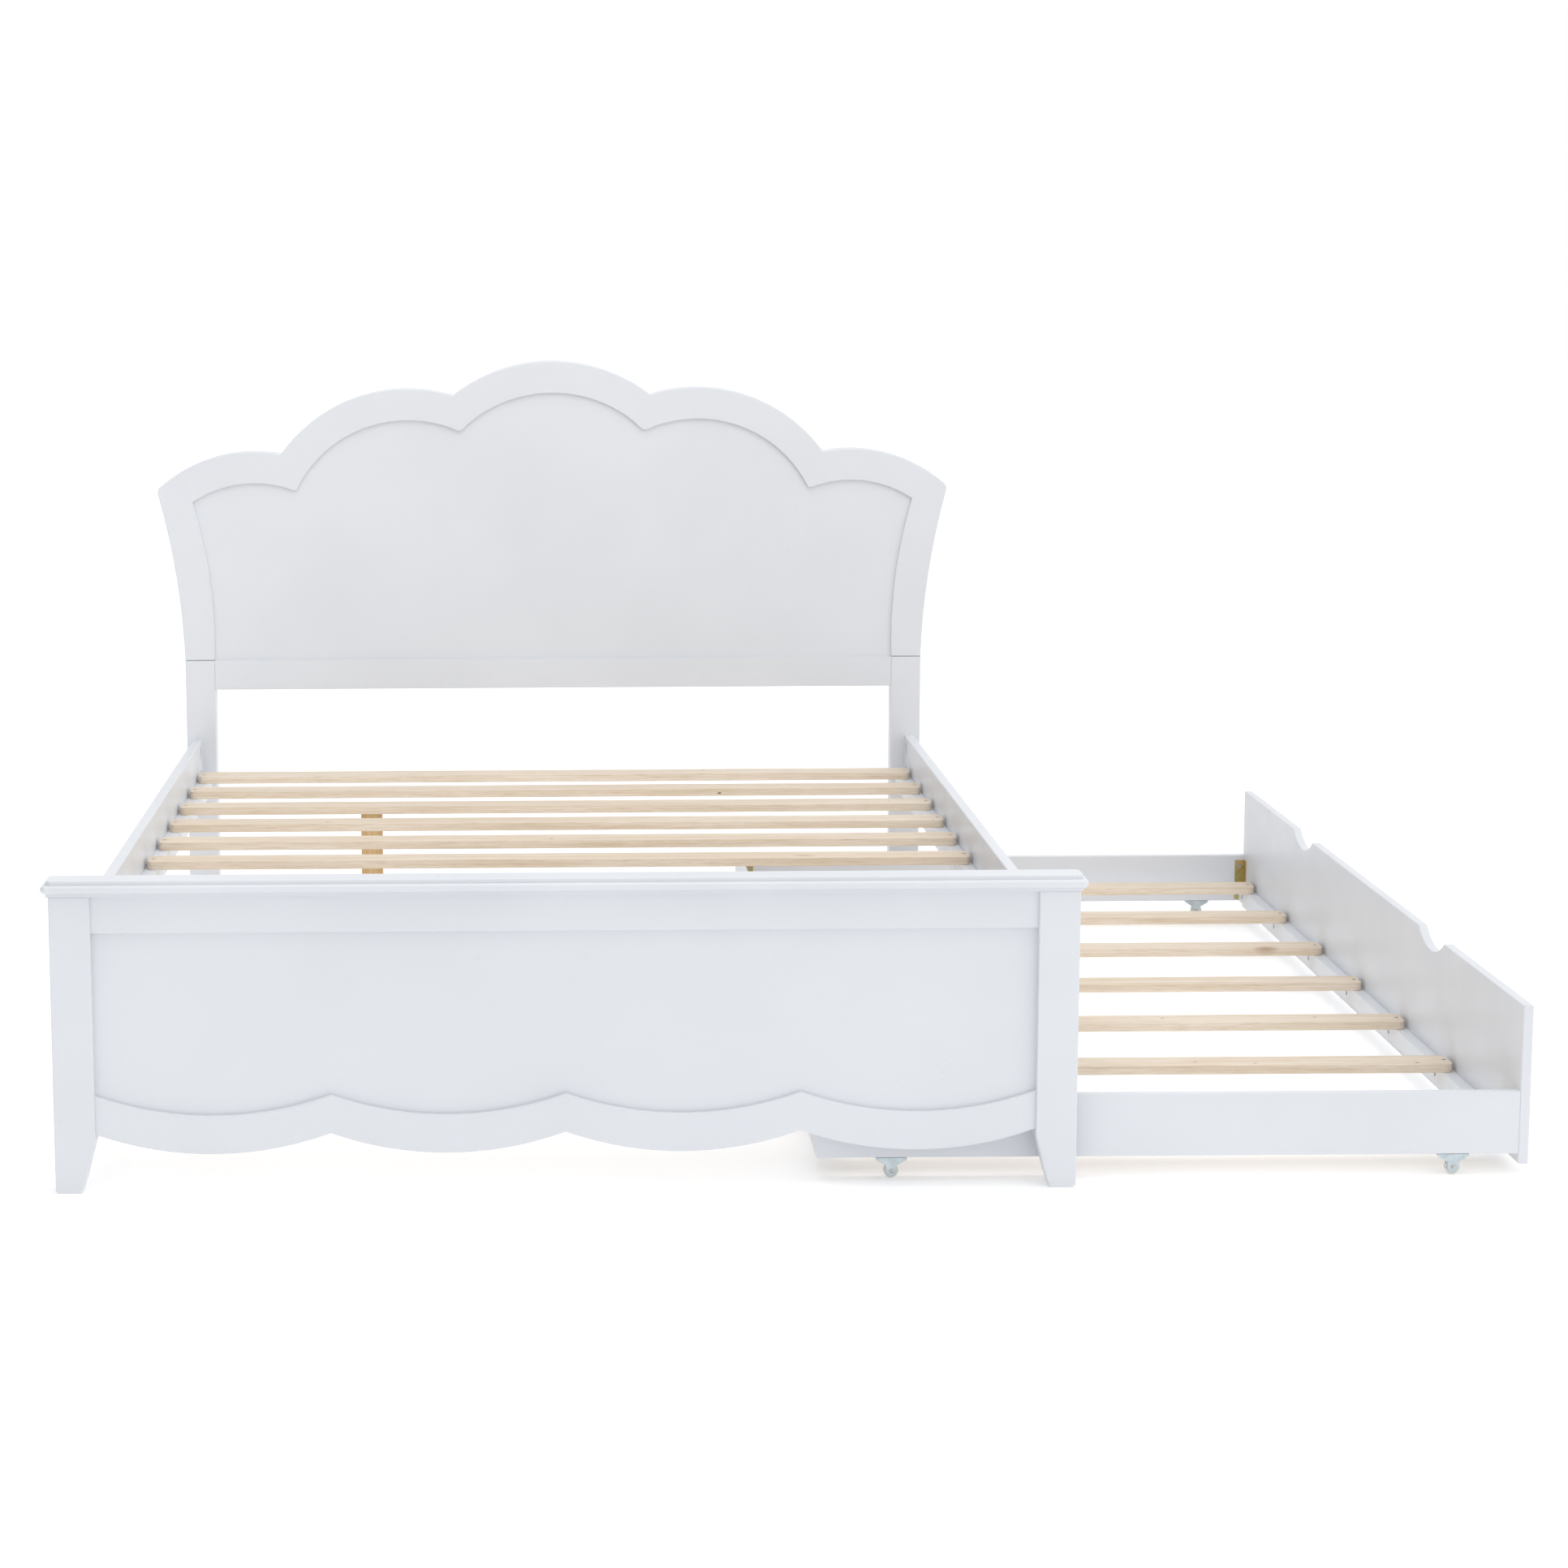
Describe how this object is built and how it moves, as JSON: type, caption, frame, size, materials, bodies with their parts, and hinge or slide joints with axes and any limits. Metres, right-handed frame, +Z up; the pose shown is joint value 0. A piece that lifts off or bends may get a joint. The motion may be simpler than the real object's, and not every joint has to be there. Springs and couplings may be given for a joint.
{
  "type": "trundle bed",
  "caption": "Full-size white wooden bed with a scalloped headboard, open slats and a low twin trundle that rolls out sideways from under it.",
  "frame": {"origin": "on the floor, under the middle of the whole object with the trundle pulled out as drawn", "axes": "+X across the bed towards the side where the trundle comes out, +Y from footboard to headboard, +Z up"},
  "size_m": [2.1561, 2.065, 1.1014],
  "materials": {
    "white_paint": "satin white paint",
    "slat_wood": "sanded laminated poplar",
    "leg_wood": "planed pine",
    "dowel_wood": "turned beech",
    "yellow_zinc": "yellow zinc plating",
    "blue_zinc": "bluish zinc plating",
    "screw_steel": "zinc plating",
    "wheel_nylon": "moulded nylon"
  },
  "bodies": {
    "bed": {"bed_bolts": "screw_steel", "bed_slat_1": "slat_wood", "bed_slat_10": "slat_wood", "bed_slat_2": "slat_wood", "bed_slat_3": "slat_wood", "bed_slat_4": "slat_wood", "bed_slat_5": "slat_wood", "bed_slat_6": "slat_wood", "bed_slat_7": "slat_wood", "bed_slat_8": "slat_wood", "bed_slat_9": "slat_wood", "bed_slat_screws": "screw_steel", "bolt_nuts": "screw_steel", "bolt_washers": "screw_steel", "footboard_cap": "white_paint", "footboard_dowels": "dowel_wood", "footboard_left_leg": "white_paint", "footboard_panel": "white_paint", "footboard_right_leg": "white_paint", "footboard_scalloped_rail": "white_paint", "footboard_upper_rail": "white_paint", "headboard_dowels": "dowel_wood", "headboard_left_post": "white_paint", "headboard_lower_rail": "white_paint", "headboard_panel": "white_paint", "headboard_right_post": "white_paint", "headboard_rim": "white_paint", "left_side_rail": "white_paint", "left_slat_cleat": "white_paint", "right_side_rail": "white_paint", "right_slat_cleat": "white_paint", "side_cleat_screws": "screw_steel", "support_leg_1": "leg_wood", "support_leg_2": "leg_wood", "support_leg_dowels": "dowel_wood"},
    "trundle": {"bracket_screws": "screw_steel", "caster_axles": "screw_steel", "caster_forks": "blue_zinc", "caster_screws": "screw_steel", "trundle_back_board": "white_paint", "trundle_back_cleat": "white_paint", "trundle_cleat_screws": "screw_steel", "trundle_corner_brackets": "yellow_zinc", "trundle_foot_rail": "white_paint", "trundle_front_cleat": "white_paint", "trundle_front_panel": "white_paint", "trundle_head_rail": "white_paint", "trundle_slat_1": "slat_wood", "trundle_slat_2": "slat_wood", "trundle_slat_3": "slat_wood", "trundle_slat_4": "slat_wood", "trundle_slat_5": "slat_wood", "trundle_slat_6": "slat_wood", "trundle_slat_7": "slat_wood", "trundle_slat_screws": "screw_steel"},
    "wheel_1": {"caster_wheel_1": "wheel_nylon"},
    "wheel_2": {"caster_wheel_2": "wheel_nylon"},
    "wheel_3": {"caster_wheel_3": "wheel_nylon"},
    "wheel_4": {"caster_wheel_4": "wheel_nylon"}
  },
  "joints": [
    {"name": "trundle_slide", "type": "slide", "parent": "bed", "child": "trundle", "axis": [1, 0, 0], "range_m": [-0.671, 0.38]},
    {"name": "wheel_1_roll", "type": "hinge", "parent": "trundle", "child": "wheel_1", "pos_m": [0.163, -0.96, 0.0105], "axis": [0, 1, 0], "continuous": true},
    {"name": "wheel_2_roll", "type": "hinge", "parent": "trundle", "child": "wheel_2", "pos_m": [0.971, -0.96, 0.0105], "axis": [0, 1, 0], "continuous": true},
    {"name": "wheel_3_roll", "type": "hinge", "parent": "trundle", "child": "wheel_3", "pos_m": [0.163, 0.97, 0.0105], "axis": [0, 1, 0], "continuous": true},
    {"name": "wheel_4_roll", "type": "hinge", "parent": "trundle", "child": "wheel_4", "pos_m": [0.971, 0.97, 0.0105], "axis": [0, 1, 0], "continuous": true}
  ],
  "couplings": [
    {"joint": "wheel_1_roll", "follows": "trundle_slide", "rad_per_m": 95.238},
    {"joint": "wheel_2_roll", "follows": "trundle_slide", "rad_per_m": 95.238},
    {"joint": "wheel_3_roll", "follows": "trundle_slide", "rad_per_m": 95.238},
    {"joint": "wheel_4_roll", "follows": "trundle_slide", "rad_per_m": 95.238}
  ]
}
